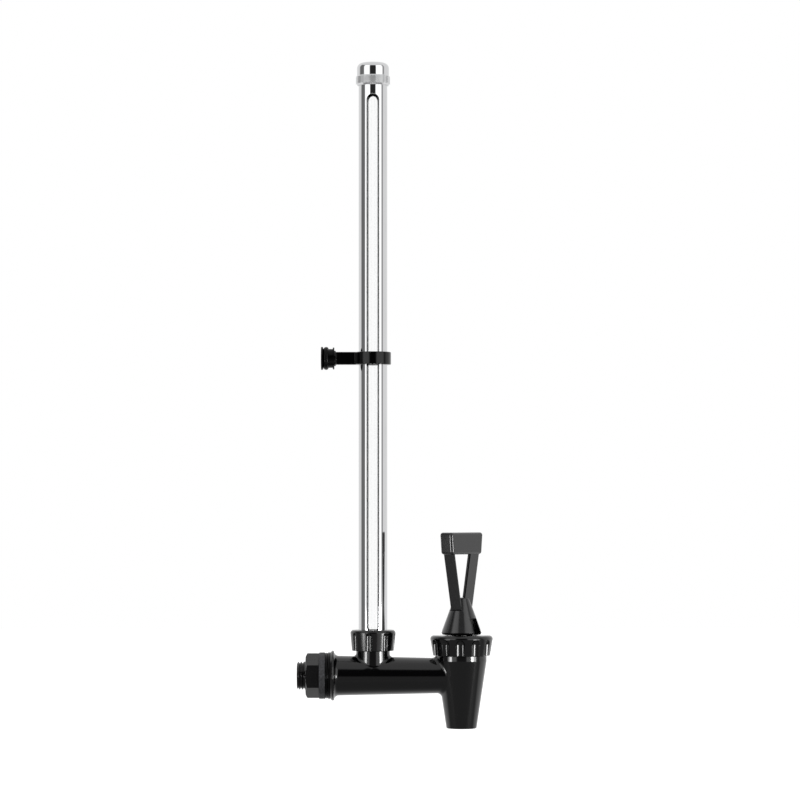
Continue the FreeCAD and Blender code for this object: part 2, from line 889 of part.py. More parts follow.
def make_shank_nut():
    """The hexagon nut that draws the shank tight in the tank wall."""
    body = new_body("shank_nut")
    flat = size.nut_across_flats / 2
    corner = flat / COS_30
    hexagon = draw(
        new_sketch(body, "hexagon_outline", plane="YZ_Plane", lift=nut_end),
        [
            (0, -corner),
            (flat, -corner / 2),
            (flat, corner / 2),
            (0, corner),
            (-flat, corner / 2),
            (-flat, -corner / 2),
        ],
    )
    padded(body, "hexagon", hexagon, size.nut_thickness)
    bore = draw_circle(
        new_sketch(body, "bore_outline", plane="YZ_Plane"), 0, 0, size.shank_radius + size.thread_fit
    )
    pocketed(body, "bore", bore, -2 * nut_end + 2)
    turned(
        body,
        "chamfer",
        [
            (nut_end, flat),
            (nut_end + size.nut_chamfer, corner),
            (nut_end + size.nut_chamfer, corner + 1),
            (nut_end, corner + 1),
        ],
        axis="H_Axis",
        cut=True,
    )
    return body


def make_gauge_nut():
    """The grooved nut that holds the shield and the gauge gasket down on the tee neck."""
    body = new_body("gauge_nut", x=size.tee_x, bearing=size.gauge_nut_groove_start)
    bore = size.tee_thread_radius + size.thread_fit
    hole = size.shield_radius + size.thread_fit
    rim = size.gauge_nut_height - size.gauge_nut_rounding
    rim_radius = size.gauge_nut_foot_radius + tangent(size.gauge_nut_flare) * rim
    turned(
        body,
        "shell",
        [
            (bore, gauge_nut_foot),
            (size.gauge_nut_foot_radius, gauge_nut_foot),
            (rim_radius, gauge_nut_foot + rim),
            (rim_radius - size.gauge_nut_rounding, gauge_nut_top, size.gauge_nut_rounding),
            (hole, gauge_nut_top),
            (hole, gauge_nut_seat),
            (bore, gauge_nut_seat),
        ],
    )
    scoop_row(
        body,
        "groove",
        gauge_nut_foot,
        size.gauge_nut_foot_radius,
        size.groove_lean,
        size.gauge_nut_height - size.groove_headroom,
        size.groove_radius,
        size.groove_depth,
        size.gauge_nut_grooves,
    )
    return body


def make_gauge_gasket():
    """The flanged rubber sleeve that seals the glass in the tee neck."""
    body = new_body("gauge_gasket", x=size.tee_x)
    bore = size.glass_radius + size.gasket_fit
    outside = size.gasket_pocket_radius - size.gasket_fit
    turned(
        body,
        "sleeve",
        [
            (bore, glass_foot),
            (outside, glass_foot),
            (outside, size.tee_top),
            (size.tee_thread_radius - 0.2, size.tee_top),
            (size.tee_thread_radius - 0.2, shield_foot),
            (bore, shield_foot),
        ],
    )
    return body


def make_glass():
    """The open glass tube that the liquid stands in."""
    outside = doc.addObject("Part::Cylinder", "glass_outside")
    inside = doc.addObject("Part::Cylinder", "glass_inside")
    for cylinder, radius in ((outside, size.glass_radius), (inside, size.glass_bore_radius)):
        bind(cylinder, "Radius", radius)
        bind(cylinder, "Height", size.glass_length)
        bind(cylinder, "Placement.Base.x", size.tee_x)
        bind(cylinder, "Placement.Base.z", glass_foot)
    tube = doc.addObject("Part::Cut", "gauge_glass")
    tube.Base = outside
    tube.Tool = inside
    return tube


def make_shield():
    """The plated tube round the glass, with a long window front and back and a foot for its nut."""
    body = new_body("gauge_shield", x=size.tee_x)
    turned(
        body,
        "tube",
        [
            (shield_bore_radius, shield_foot),
            (size.shield_foot_radius, shield_foot),
            (size.shield_foot_radius, shield_foot_top),
            (size.shield_radius, shield_foot_top),
            (size.shield_radius, shield_top),
            (shield_bore_radius, shield_top),
        ],
    )
    half = size.slot_width / 2
    low = shield_foot + size.slot_start + half
    high = shield_top - size.slot_end - half
    window = draw(new_sketch(body, "window_outline"), [(-half, low), (half, low), (half, high), (-half, high)])
    pocketed(body, "window", window, size.shield_radius * 4)
    ends = new_sketch(body, "window_ends_outline")
    draw_circle(ends, 0, low, half)
    draw_circle(ends, 0, high, half)
    pocketed(body, "window_ends", ends, size.shield_radius * 4)
    return body


def make_bushing():
    """The soft ring that centres the glass in the top of the shield."""
    top = shield_top - size.bushing_drop
    bore = size.glass_radius + size.gasket_fit
    radius = shield_bore_radius - size.gasket_fit
    return make_ring("glass_bushing", top - size.bushing_length, top, bore, radius, 0.4, x=size.tee_x, lying=False)


def make_slip_washer():
    """The thin washer that the gauge nut turns on."""
    top = slip_washer_foot + size.slip_washer_thickness
    bore = size.shield_radius + size.washer_bore_gap / 2
    radius = size.tee_thread_radius - 0.25
    return make_ring("slip_washer", slip_washer_foot, top, bore, radius, 0.2, x=size.tee_x, lying=False)


def make_cap():
    """The vented cap with its knurled band."""
    body = new_body("cap", x=size.tee_x)
    bore = size.shield_radius + size.thread_fit
    knurl_foot = cap_foot + size.knurl_start
    knurl_top = knurl_foot + size.knurl_height
    shoulder_radius = size.cap_radius - size.cap_shoulder
    shoulder_top = cap_top - size.cap_crown
    crown_radius = (shoulder_radius * shoulder_radius + size.cap_crown * size.cap_crown) / (2 * size.cap_crown)
    turned(
        body,
        "shell",
        [
            (bore, cap_foot),
            (bore + size.cap_foot_wall, cap_foot),
            (size.knurl_radius, knurl_foot),
            (size.knurl_radius, knurl_top),
            (size.cap_radius, knurl_top + size.knurl_chamfer),
            (size.cap_radius, shoulder_top - size.cap_shoulder),
            (shoulder_radius, shoulder_top, size.cap_shoulder),
            (0, cap_top, crown_radius),
            (0, cap_ceiling),
            (bore - size.cap_corner, cap_ceiling),
            (bore, cap_ceiling - size.cap_corner),
        ],
    )
    vent = draw_circle(new_sketch(body, "vent_outline", plane="XY_Plane", lift=cap_top), 0, 0, size.vent_radius)
    pocketed(body, "vent", vent, size.cap_roof * 4)
    return body


def make_cushion():
    """The rubber cushion in the cap's ceiling, with a hole for the vent."""
    top = cap_ceiling - size.contact_gap
    foot = top - size.cushion_thickness
    bore = size.cushion_bore_radius
    return make_ring("cap_cushion", foot, top, bore, size.cushion_radius, 0.3, x=size.tee_x, lying=False)


def make_bracket():
    """The closed ring round the shield, its arm and the prong that goes into the grommet."""
    body = new_body("bracket", z=size.bracket_middle)
    ring = draw_circle(new_sketch(body, "ring_outline", plane="XY_Plane"), size.tee_x, 0, size.bracket_radius)
    padded(body, "ring", ring, size.bracket_height, both_ways=True)
    side = size.arm_thickness / 2
    arm = draw(
        new_sketch(body, "arm_outline", plane="XY_Plane"),
        [(size.arm_end, -side), (size.tee_x, -side), (size.tee_x, side), (size.arm_end, side)],
    )
    padded(body, "arm", arm, size.bracket_height, both_ways=True)
    rounded(body, "edges", size.bracket_rounding, any_edge)
    tip = collar_face - size.prong_length
    collar_end = size.arm_end + size.collar_root
    turned(
        body,
        "prong",
        [
            (tip, 0),
            (collar_end, 0),
            (collar_end, size.bracket_height / 2 - size.bracket_rounding),
            (size.arm_end, size.collar_radius),
            (collar_face, size.collar_radius),
            (collar_face, size.prong_radius),
            (tip + size.prong_chamfer, size.prong_radius),
            (tip, size.prong_radius - size.prong_chamfer),
        ],
        axis="H_Axis",
    )
    hole_radius = size.shield_radius + size.bracket_fit
    hole = draw_circle(new_sketch(body, "hole_outline", plane="XY_Plane"), size.tee_x, 0, hole_radius)
    pocketed(body, "hole", hole, size.bracket_height * 2)
    return body


def make_grommet():
    """The rubber grommet that snaps into the tank wall and grips the bracket's prong."""
    body = new_body("grommet", z=size.bracket_middle)
    bore = size.prong_radius + size.gasket_fit
    right = collar_face - size.contact_gap
    neck_right = right - size.grommet_lip
    neck_left = neck_right - size.grommet_neck
    ridge_left = neck_left - size.grommet_ridge
    groove = ridge_left - size.grommet_groove
    left = groove - size.grommet_tip
    ridge_edge = size.grommet_ridge_radius - size.grommet_ridge_drop
    half_ridge = size.grommet_ridge / 2
    drop = size.grommet_ridge_drop
    crown_radius = (half_ridge * half_ridge + drop * drop) / (2 * drop)
    turned(
        body,
        "rubber",
        [
            (left, bore),
            (right, bore),
            (right, size.grommet_lip_radius),
            (neck_right, size.grommet_lip_radius),
            (neck_right, size.grommet_neck_radius),
            (neck_left, size.grommet_neck_radius),
            (neck_left, ridge_edge),
            (ridge_left, ridge_edge, crown_radius),
            (groove, size.grommet_groove_radius),
            (groove - size.grommet_groove, size.grommet_ridge_radius),
            (left, size.grommet_ridge_radius),
        ],
        axis="H_Axis",
    )
    return body


def make_spring_washer():
    """The steel washer between the spring and the stem's foot."""
    top = spring_washer_foot + size.spring_washer_thickness
    bore = size.stem_radius + 0.15
    radius = size.spring_radius + size.spring_wire / 2
    return make_ring("spring_washer", spring_washer_foot, top, bore, radius, 0.1, x=size.spout_x, lying=False)


def make_spring():
    """The closing spring, its wire drawn with sixteen flats."""
    half_wire = size.spring_wire / 2
    coil_foot = spring_foot + half_wire
    coil_height = bonnet_ceiling - size.contact_gap - half_wire - coil_foot
    helix = doc.addObject("Part::Helix", "spring_path")
    bind(helix, "Radius", size.spring_radius)
    bind(helix, "Pitch", coil_height / size.spring_turns)
    bind(helix, "Height", coil_height)
    bind(helix, "Placement.Base.x", size.spout_x)
    bind(helix, "Placement.Base.z", coil_foot)
    wire = doc.addObject("Part::RegularPolygon", "spring_section")
    wire.Polygon = 16
    wire.Placement = FreeCAD.Placement(FreeCAD.Vector(), FreeCAD.Rotation(FreeCAD.Vector(1, 0, 0), 90))
    bind(wire, "Circumradius", half_wire)
    bind(wire, "Placement.Base.x", size.spout_x + size.spring_radius)
    bind(wire, "Placement.Base.z", coil_foot)
    doc.recompute()
    spring = doc.addObject("Part::Sweep", "spring")
    spring.Sections = [wire]
    spring.Spine = (helix, [f"Edge{number}" for number in range(1, len(helix.Shape.Edges) + 1)])
    spring.Solid = True
    spring.Frenet = True
    return spring


make_tap_body()
make_bonnet()
make_seat_cup()
make_stem()
make_handle_pin()
make_handle()
make_shank_rings()
make_shank_nut()
make_gauge_nut()
make_gauge_gasket()
make_glass()
make_shield()
make_bushing()
make_slip_washer()
make_cap()
make_cushion()
make_bracket()
make_grommet()
make_spring_washer()
make_spring()
doc.recompute()

NODES = [
    "tap_body",
    "bonnet",
    "seat_cup",
    "stem",
    "spring",
    "spring_washer",
    "handle",
    "handle_pin",
    "flange_washer",
    "inner_washer",
    "nut_washer",
    "shank_nut",
    "gauge_nut",
    "slip_washer",
    "gauge_gasket",
    "gauge_glass",
    "gauge_shield",
    "glass_bushing",
    "cap",
    "cap_cushion",
    "bracket",
    "grommet",
]

for thing in doc.Objects:
    if "Invalid" in thing.State or "Error" in thing.State:
        raise RuntimeError(f"{thing.Label} did not build: {thing.State}")

os.makedirs("parts", exist_ok=True)
for label in NODES:
    shape = doc.getObjectsByLabel(label)[0].Shape
    if shape.isNull() or not shape.isValid() or len(shape.Solids) != 1:
        raise RuntimeError(f"{label} is not one valid solid")
    shape.exportStep(f"parts/{label}.step")
    box = shape.BoundBox
    print(f"{label}: {shape.Volume:.1f} mm3, z {box.ZMin:.2f} to {box.ZMax:.2f}, faces {len(shape.Faces)}")
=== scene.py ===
import json
import math

import bmesh
import bpy
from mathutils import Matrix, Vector


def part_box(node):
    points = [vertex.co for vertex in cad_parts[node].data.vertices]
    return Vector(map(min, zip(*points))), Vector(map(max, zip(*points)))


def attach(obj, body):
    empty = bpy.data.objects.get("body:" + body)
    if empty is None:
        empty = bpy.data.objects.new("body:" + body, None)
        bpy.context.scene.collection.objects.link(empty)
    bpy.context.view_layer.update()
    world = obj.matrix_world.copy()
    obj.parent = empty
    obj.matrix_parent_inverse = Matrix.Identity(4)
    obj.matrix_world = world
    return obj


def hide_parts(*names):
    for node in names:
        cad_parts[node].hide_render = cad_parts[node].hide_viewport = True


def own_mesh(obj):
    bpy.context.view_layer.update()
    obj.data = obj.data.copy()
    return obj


bl_info = {
    "name": "Dispenser tap looks",
    "version": (1, 0, 0),
    "blender": (4, 5, 0),
    "location": "View3D > Sidebar > Tap",
    "description": "Finishes, knurled cap and studio for a drinks dispenser tap with a level gauge",
    "category": "Object",
}

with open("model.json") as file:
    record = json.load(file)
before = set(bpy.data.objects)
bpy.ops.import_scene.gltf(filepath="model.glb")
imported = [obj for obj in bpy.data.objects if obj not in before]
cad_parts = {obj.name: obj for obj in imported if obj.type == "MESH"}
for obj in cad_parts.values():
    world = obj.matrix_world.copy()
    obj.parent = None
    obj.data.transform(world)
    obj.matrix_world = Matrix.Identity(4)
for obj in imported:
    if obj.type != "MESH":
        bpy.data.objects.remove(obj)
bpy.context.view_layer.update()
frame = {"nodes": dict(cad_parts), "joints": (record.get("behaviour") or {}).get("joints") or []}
GAUGE_X = sum(corner.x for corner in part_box("gauge_shield")) / 2
SPOUT_X = sum(corner.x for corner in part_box("bonnet")) / 2

VIEW_SIZE = 800  # pixels across the square view
VIEW_ORIGIN = (330.5, 675.6)  # the pixel where the frame's origin shows
PIXEL = 0.000565  # metres that a pixel covers at the gauge

RUBBED_EDGE = 0.0004  # how far the wear along an edge reaches
SHARP_TURN = math.radians(24)  # edges of a turned piece that turn further than this stay crisp
BEVEL_SETTINGS = {"samples": 6}
WHITE = (1.0, 1.0, 1.0, 1.0)
BLACK = (0.0, 0.0, 0.0, 1.0)


class Wire:
    """A shader socket that takes part in Python expressions."""

    def __init__(self, socket):
        self.socket = socket

    def _tree(self):
        return self.socket.id_data

    def _math(self, operation, *values):
        settings = {"operation": operation}
        return node(self._tree(), "ShaderNodeMath", settings, dict(enumerate(values)))

    def __add__(self, other):
        return self._math("ADD", self, other)

    def __radd__(self, other):
        return self._math("ADD", other, self)

    def __sub__(self, other):
        return self._math("SUBTRACT", self, other)

    def __rsub__(self, other):
        return self._math("SUBTRACT", other, self)

    def __mul__(self, other):
        return self._math("MULTIPLY", self, other)

    def __rmul__(self, other):
        return self._math("MULTIPLY", other, self)

    def larger(self, other):
        return self._math("MAXIMUM", self, other)

    def clamped(self):
        return self._math("MAXIMUM", self._math("MINIMUM", self, 1.0), 0.0)

    def ramp(self, low, high, start=0.0, end=1.0):
        """Goes smoothly from start to end as this value goes from low to high."""
        settings = {"interpolation_type": "SMOOTHSTEP"}
        values = {"Value": self, "From Min": low, "From Max": high, "To Min": start, "To Max": end}
        return node(self._tree(), "ShaderNodeMapRange", settings, values, "Result")

    def window(self, start, full, fade, end):
        """1 between full and fade, and 0 before start and after end."""
        return self.ramp(start, full) * self.ramp(fade, end, 1.0, 0.0)


def node(tree, kind, settings=None, values=None, output=0):
    """Adds a node with its settings, fills its sockets with values or links, returns one output."""
    made = tree.nodes.new(kind)
    for name, value in (settings or {}).items():
        setattr(made, name, value)
    for key, value in (values or {}).items():
        socket = made.inputs[key]
        if isinstance(value, Wire):
            tree.links.new(value.socket, socket)
        else:
            socket.default_value = value
    return Wire(made.outputs[output])


def mixed(tree, share, first, second):
    """Mixes two colours by a share."""
    factor, colour_a, colour_b, result = 0, 6, 7, 2  # the Mix node's sockets for colours
    values = {factor: share, colour_a: first, colour_b: second}
    return node(tree, "ShaderNodeMix", {"data_type": "RGBA"}, values, result)


def is_ray(tree, kind):
    """1 for rays of a kind, such as Camera or Glossy, and 0 for others."""
    return node(tree, "ShaderNodeLightPath", output=f"Is {kind} Ray")


def shade(colour, factor, lift=0.0):
    """A colour made lighter or darker."""
    return tuple(part * factor + lift for part in colour[:3]) + (1.0,)


class Finish:
    """A material being built: its tree, its Principled shader and its surface's coordinates."""

    def __init__(self, name):
        self.material = bpy.data.materials.new(name)
        self.material.use_nodes = True
        self.tree = self.material.node_tree
        self.shader = self.tree.nodes["Principled BSDF"]
        self.place = node(self.tree, "ShaderNodeTexCoord", output="Object")

    def noise(self, scale, detail=2.0, roughness=0.5, stretch=None):
        """Mottling of a scale, drawn out along an axis where stretch is small."""
        place = self.place
        if stretch:
            place = node(self.tree, "ShaderNodeMapping", {}, {"Vector": place, "Scale": stretch})
        values = {"Vector": place, "Scale": scale, "Detail": detail, "Roughness": roughness}
        return node(self.tree, "ShaderNodeTexNoise", {}, values, "Fac")

    def cells(self, scale):
        """The distance to the nearest of many scattered points, for pits and grit."""
        values = {"Vector": self.place, "Scale": scale}
        return node(self.tree, "ShaderNodeTexVoronoi", {}, values, "Distance")

    def rims(self, radius):
        """1 along the surface's edges and 0 on its faces."""
        soft = node(self.tree, "ShaderNodeBevel", BEVEL_SETTINGS, {"Radius": radius})
        sharp = node(self.tree, "ShaderNodeNewGeometry", output="Normal")
        settings = {"operation": "DOT_PRODUCT"}
        agreement = node(self.tree, "ShaderNodeVectorMath", settings, {0: soft, 1: sharp}, "Value")
        return agreement.ramp(0.995, 0.86)

    def level(self, **values):
        """Sets sockets of the shader that are the same all over the surface."""
        for name, value in values.items():
            self.shader.inputs[name.replace("_", " ")].default_value = value

    def feed(self, name, value):
        """Links a value that changes over the surface to a socket of the shader."""
        self.tree.links.new(value.socket, self.shader.inputs[name])

    def relief(self, height, distance, soften=0.0):
        """Bumps the surface by a height. Soften rounds its sharp edges by that radius in metres."""
        values = {"Height": height, "Strength": 1.0, "Distance": distance}
        if soften:
            values["Normal"] = node(self.tree, "ShaderNodeBevel", BEVEL_SETTINGS, {"Radius": soften})
        self.feed("Normal", node(self.tree, "ShaderNodeBump", {}, values))


def moulded(name, colour, dull, wave, soften=0.00025, bend=1.49):
    """Glossy moulded plastic: flow marks, a soft orange peel, hairline scuffs and rubbed edges."""
    finish = Finish(name)
    peel = finish.noise(900.0, 2.0)
    flow = finish.noise(55.0, 3.0, 0.55, (1.0, 1.0, 0.35))
    scuffs = finish.noise(260.0, 6.0, 0.72, (0.35, 1.0, 1.0)).ramp(0.56, 0.74)
    rims = finish.rims(RUBBED_EDGE)
    tone = mixed(finish.tree, flow.ramp(0.3, 0.7), colour, shade(colour, 1.6))
    finish.feed("Base Color", mixed(finish.tree, rims * 0.5, tone, shade(colour, 2.0, 0.002)))
    finish.feed("Roughness", dull + scuffs * 0.07 + flow * 0.03 + rims * 0.05)
    finish.level(IOR=bend)
    finish.relief(peel * 0.25 + flow, wave, soften)
    return finish


def satin(name, colour, dull, grain, soften=0.00025, bend=1.5):
    """Satin moulded plastic with a fine spark-eroded grain that wears smooth in patches."""
    finish = Finish(name)
    fine = finish.noise(3200.0, 3.0, 0.6)
    coarse = finish.noise(120.0, 4.0, 0.6)
    wear = finish.noise(34.0, 5.0, 0.65).ramp(0.45, 0.7)
    rims = finish.rims(RUBBED_EDGE)
    tone = mixed(finish.tree, coarse.ramp(0.35, 0.65), colour, shade(colour, 1.4))
    finish.feed("Base Color", mixed(finish.tree, rims * 0.6, tone, shade(colour, 2.0, 0.004)))
    finish.feed("Roughness", dull + fine * 0.06 - wear * 0.05 + rims * 0.15)
    finish.level(IOR=bend)
    finish.relief(fine * 0.6 + coarse * 0.4, grain, soften)
    return finish


def gritty(name, colour):
    """Rough unpolished plastic, mottled and pitted, with a chalky rim."""
    finish = Finish(name)
    mottle = finish.noise(1100.0, 4.0, 0.65)
    grit = finish.cells(1500.0)
    rims = finish.rims(RUBBED_EDGE)
    tone = mixed(finish.tree, mottle.ramp(0.4, 0.6), shade(colour, 0.35), shade(colour, 2.2))
    finish.feed("Base Color", mixed(finish.tree, rims * 0.5, tone, shade(colour, 1.8)))
    finish.feed("Roughness", 0.5 + mottle * 0.25)
    finish.level(IOR=1.5)
    finish.relief(mottle * 0.7 + grit * 0.3, 0.00016, 0.0002)
    return finish


def rubber(name, colour, dull=0.2):
    """Rubber with a dusty bloom and tiny pits."""
    finish = Finish(name)
    pits = finish.noise(2600.0, 4.0, 0.7)
    bloom = finish.noise(150.0, 5.0, 0.6).ramp(0.4, 0.75)
    finish.feed("Base Color", mixed(finish.tree, bloom, colour, shade(colour, 1.3, 0.0004)))
    finish.feed("Roughness", dull + bloom * 0.1 + pits * 0.05)
    finish.level(IOR=1.22)
    finish.relief(pits, 0.00002)
    return finish


def plated(name, colour):
    """Bright plate over a drawn tube: lengthwise polishing lines and a few soft haze patches."""
    finish = Finish(name)
    lines = finish.noise(2400.0, 3.0, 0.6, (1.0, 1.0, 0.012))
    haze = finish.noise(70.0, 5.0, 0.6, (1.0, 1.0, 0.3)).ramp(0.5, 0.78)
    finish.feed("Base Color", mixed(finish.tree, haze, colour, shade(colour, 0.94)))
    finish.feed("Roughness", 0.03 + lines * 0.025 + haze * 0.04)
    finish.level(Metallic=1.0)
    finish.relief(lines, 0.000001)
    return finish


def clear_glass(name, tint):
    """Drawn glass with the faintest draw lines."""
    finish = Finish(name)
    lines = finish.noise(500.0, 2.0, 0.5, (1.0, 1.0, 0.01))
    finish.feed("Base Color", mixed(finish.tree, lines.ramp(0.3, 0.7), tint, WHITE))
    finish.feed("Roughness", lines * 0.003)
    finish.level(IOR=1.4, Transmission_Weight=1.0)
    finish.relief(lines, 0.0000001)
    return finish


def steel(name, colour):
    """Drawn stainless wire and sheet."""
    finish = Finish(name)
    lines = finish.noise(3000.0, 4.0, 0.6, (1.0, 1.0, 0.1))
    stain = finish.noise(160.0, 4.0, 0.6).ramp(0.45, 0.75)
    finish.feed("Base Color", mixed(finish.tree, stain, colour, shade(colour, 0.8)))
    finish.feed("Roughness", 0.2 + lines * 0.15 + stain * 0.1)
    finish.level(Metallic=1.0)
    finish.relief(lines, 0.000004)
    return finish


def coat(finish, *names):
    """Gives CAD nodes a finish."""
    for name in names:
        slots = frame["nodes"][name].data.materials
        slots.clear()
        slots.append(finish.material)


def squeezed(node_name, piece_name):
    """Stands in for a CAD node that is pressed against the bonnet's roof as the stem lifts, with an
    unchanged copy of its mesh attached to the tap; the node is hidden.
    """
    source = frame["nodes"][node_name]
    piece = bpy.data.objects.new(piece_name, source.data.copy())
    bpy.context.scene.collection.objects.link(piece)
    low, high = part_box(node_name)
    lift = next(joint for joint in frame["joints"] if joint["name"] == "stem_lift")["range_m"][1]
    height = high.z - low.z
    kept = (height - lift) / height
    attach(piece, "tap")
    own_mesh(piece)
    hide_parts(node_name)


def turned_mesh(name, rings, count, centre):
    """A closed mesh turned from rings. Each gives a radius and a height for an angle."""
    shape = bmesh.new()
    turns = [math.tau * number / count for number in range(count)]
    rows = []
    for ring in rings:
        row = []
        for turn in turns:
            radius, height = ring(turn)
            place = (centre + radius * math.cos(turn), radius * math.sin(turn), height)
            row.append(shape.verts.new(place))
        rows.append(row)
    for row, following in zip(rows, rows[1:] + rows[:1]):
        for number in range(count):
            onward = (number + 1) % count
            shape.faces.new((row[number], row[onward], following[onward], following[number]))
    bmesh.ops.recalc_face_normals(shape, faces=shape.faces)
    for face in shape.faces:
        face.smooth = True
    mesh = bpy.data.meshes.new(name)
    shape.to_mesh(mesh)
    shape.free()
    mesh.set_sharp_from_angle(angle=SHARP_TURN)
    return mesh


def add_lamp(name, place, aim, size, power):
    """A soft box: an area lamp at a place, pointed at another."""
    data = bpy.data.lights.new(name, "AREA")
    data.shape = "RECTANGLE"
    data.size, data.size_y = size
    data.energy = power
    lamp = bpy.data.objects.new(name, data)
    lamp.location = place
    lamp.rotation_euler = (Vector(aim) - Vector(place)).to_track_quat("-Z", "Y").to_euler()
    bpy.context.scene.collection.objects.link(lamp)
    return lamp


class TapColours(bpy.types.PropertyGroup):
    """Colours of the tap's finishes"""

    body: bpy.props.FloatVectorProperty(
        name="Body", description="Black of the moulded body, nuts and bonnet",
        subtype="COLOR", size=4, min=0.0, max=1.0, default=(0.0003, 0.0003, 0.0004, 1.0),
    )
    handle: bpy.props.FloatVectorProperty(
        name="Handle", description="Black of the satin handle",
        subtype="COLOR", size=4, min=0.0, max=1.0, default=(0.001, 0.001, 0.0012, 1.0),
    )
    washer: bpy.props.FloatVectorProperty(
        name="Nut washer", description="Grey of the rough washer under the nut",
        subtype="COLOR", size=4, min=0.0, max=1.0, default=(0.013, 0.013, 0.0148, 1.0),
    )
    rubber: bpy.props.FloatVectorProperty(
        name="Rubber", description="Black of the rubber washers and the grommet",
        subtype="COLOR", size=4, min=0.0, max=1.0, default=(0.0002, 0.0002, 0.00025, 1.0),
    )
    silicone: bpy.props.FloatVectorProperty(
        name="Silicone", description="White of the seat cup and the glass's bushing",
        subtype="COLOR", size=4, min=0.0, max=1.0, default=(0.7, 0.69, 0.66, 1.0),
    )
    stem: bpy.props.FloatVectorProperty(
        name="Stem", description="White of the valve's stem",
        subtype="COLOR", size=4, min=0.0, max=1.0, default=(0.72, 0.72, 0.7, 1.0),
    )
    steel: bpy.props.FloatVectorProperty(
        name="Steel", description="Steel of the spring, its washer and the pin",
        subtype="COLOR", size=4, min=0.0, max=1.0, default=(0.62, 0.62, 0.63, 1.0),
    )
    plate: bpy.props.FloatVectorProperty(
        name="Plate", description="Bright plate of the shield and the cap",
        subtype="COLOR", size=4, min=0.0, max=1.0, default=(0.66, 0.662, 0.67, 1.0),
    )
    glass: bpy.props.FloatVectorProperty(
        name="Glass", description="Tint of the gauge glass",
        subtype="COLOR", size=4, min=0.0, max=1.0, default=(0.99, 0.995, 0.995, 1.0),
    )


class TapSizes(bpy.types.PropertyGroup):
    """Sizes of the knurled cap and of the studio"""

    knurl_count: bpy.props.IntProperty(
        name="Knurl crossings", description="Diamonds round the cap's knurled band",
        min=24, max=120, default=44,
    )
    knurl_rows: bpy.props.IntProperty(
        name="Knurl rows", description="Diamonds across the cap's knurled band",
        min=1, max=12, default=3,
    )
    knurl_depth: bpy.props.FloatProperty(
        name="Knurl depth", description="How deep the cap's knurl is cut",
        unit="LENGTH", subtype="DISTANCE", min=0.0, max=0.001, default=0.00022,
    )
    band_start: bpy.props.FloatProperty(
        name="Knurl start", description="From the cap's foot to its knurled band",
        unit="LENGTH", subtype="DISTANCE", min=0.0, max=0.005, default=0.001,
    )
    band_height: bpy.props.FloatProperty(
        name="Knurl height", description="Height of the cap's knurled band",
        unit="LENGTH", subtype="DISTANCE", min=0.001, max=0.008, default=0.004,
    )
    cap_radius: bpy.props.FloatProperty(
        name="Cap radius", description="Radius of the plain part of the cap",
        unit="LENGTH", subtype="DISTANCE", min=0.0085, max=0.0096, default=0.00905,
    )
    cap_bore: bpy.props.FloatProperty(
        name="Cap bore", description="Radius of the cap's bore",
        unit="LENGTH", subtype="DISTANCE", min=0.0081, max=0.0084, default=0.00818,
    )
    camera_distance: bpy.props.FloatProperty(
        name="Camera distance", description="From the camera to the gauge",
        unit="LENGTH", subtype="DISTANCE", min=0.5, max=5.0, default=1.9,
    )
    camera_height: bpy.props.FloatProperty(
        name="Camera height", description="Height of the camera over the shank's axis",
        unit="LENGTH", subtype="DISTANCE", min=-0.2, max=0.5, default=0.095,
    )
    floor_drop: bpy.props.FloatProperty(
        name="Floor", description="How far the floor lies under the shank's axis",
        unit="LENGTH", subtype="DISTANCE", min=0.03, max=2.0, default=0.12,
    )


class TAP_OT_body(bpy.types.Operator):
    """Finish the body, the bonnet and the gauge nut in glossy black plastic"""

    bl_idname = "tap.body"
    bl_label = "Body, bonnet and gauge nut"

    def execute(self, context):
        black = tuple(context.scene.tap_colours.body)
        body = moulded("glossy_black_plastic", black, dull=0.09, wave=0.00001)
        bonnet = moulded("fluted_black_plastic", black, dull=0.08, wave=0.000005, soften=0.0003)
        nut = moulded("nut_gloss_plastic", black, dull=0.14, wave=0.000003, soften=0.0003)
        coat(body, "tap_body")
        coat(bonnet, "bonnet")
        coat(nut, "gauge_nut")
        return {"FINISHED"}


class TAP_OT_handle(bpy.types.Operator):
    """Finish the handle in satin black plastic"""

    bl_idname = "tap.handle"
    bl_label = "Handle"

    def execute(self, context):
        black = tuple(context.scene.tap_colours.handle)
        handle = satin(
            "satin_black_plastic", black, dull=0.16, grain=0.0000012, soften=0.0, bend=1.6,
        )
        coat(handle, "handle")
        return {"FINISHED"}


class TAP_OT_clamp(bpy.types.Operator):
    """Finish the tank nut, the rough washers and the rubber washers"""

    bl_idname = "tap.clamp"
    bl_label = "Tank nut and washers"

    def execute(self, context):
        colours = context.scene.tap_colours
        black = tuple(colours.body)
        nut = satin("nut_black_plastic", black, dull=0.24, grain=0.000008, soften=0.0003, bend=1.43)
        washer = gritty("rough_grey_plastic", tuple(colours.washer))
        seal = rubber("washer_rubber", tuple(colours.rubber))
        coat(nut, "shank_nut")
        coat(washer, "nut_washer", "slip_washer")
        coat(seal, "flange_washer", "inner_washer", "gauge_gasket")
        return {"FINISHED"}


class TAP_OT_valve(bpy.types.Operator):
    """Finish the valve inside the tap, and stand copies in for its cup and spring, which give way as
    the stem lifts
    """

    bl_idname = "tap.valve"
    bl_label = "Valve parts and pin"

    def execute(self, context):
        colours = context.scene.tap_colours
        silicone = rubber("white_silicone", tuple(colours.silicone), dull=0.35)
        white = satin("white_plastic", tuple(colours.stem), dull=0.35, grain=0.000006)
        stainless = steel("stainless_steel", tuple(colours.steel))
        coat(silicone, "seat_cup", "glass_bushing")
        coat(white, "stem")
        coat(stainless, "spring", "spring_washer", "handle_pin")
        squeezed("seat_cup", "pressed_seat_cup")
        squeezed("spring", "pressed_spring")
        return {"FINISHED"}


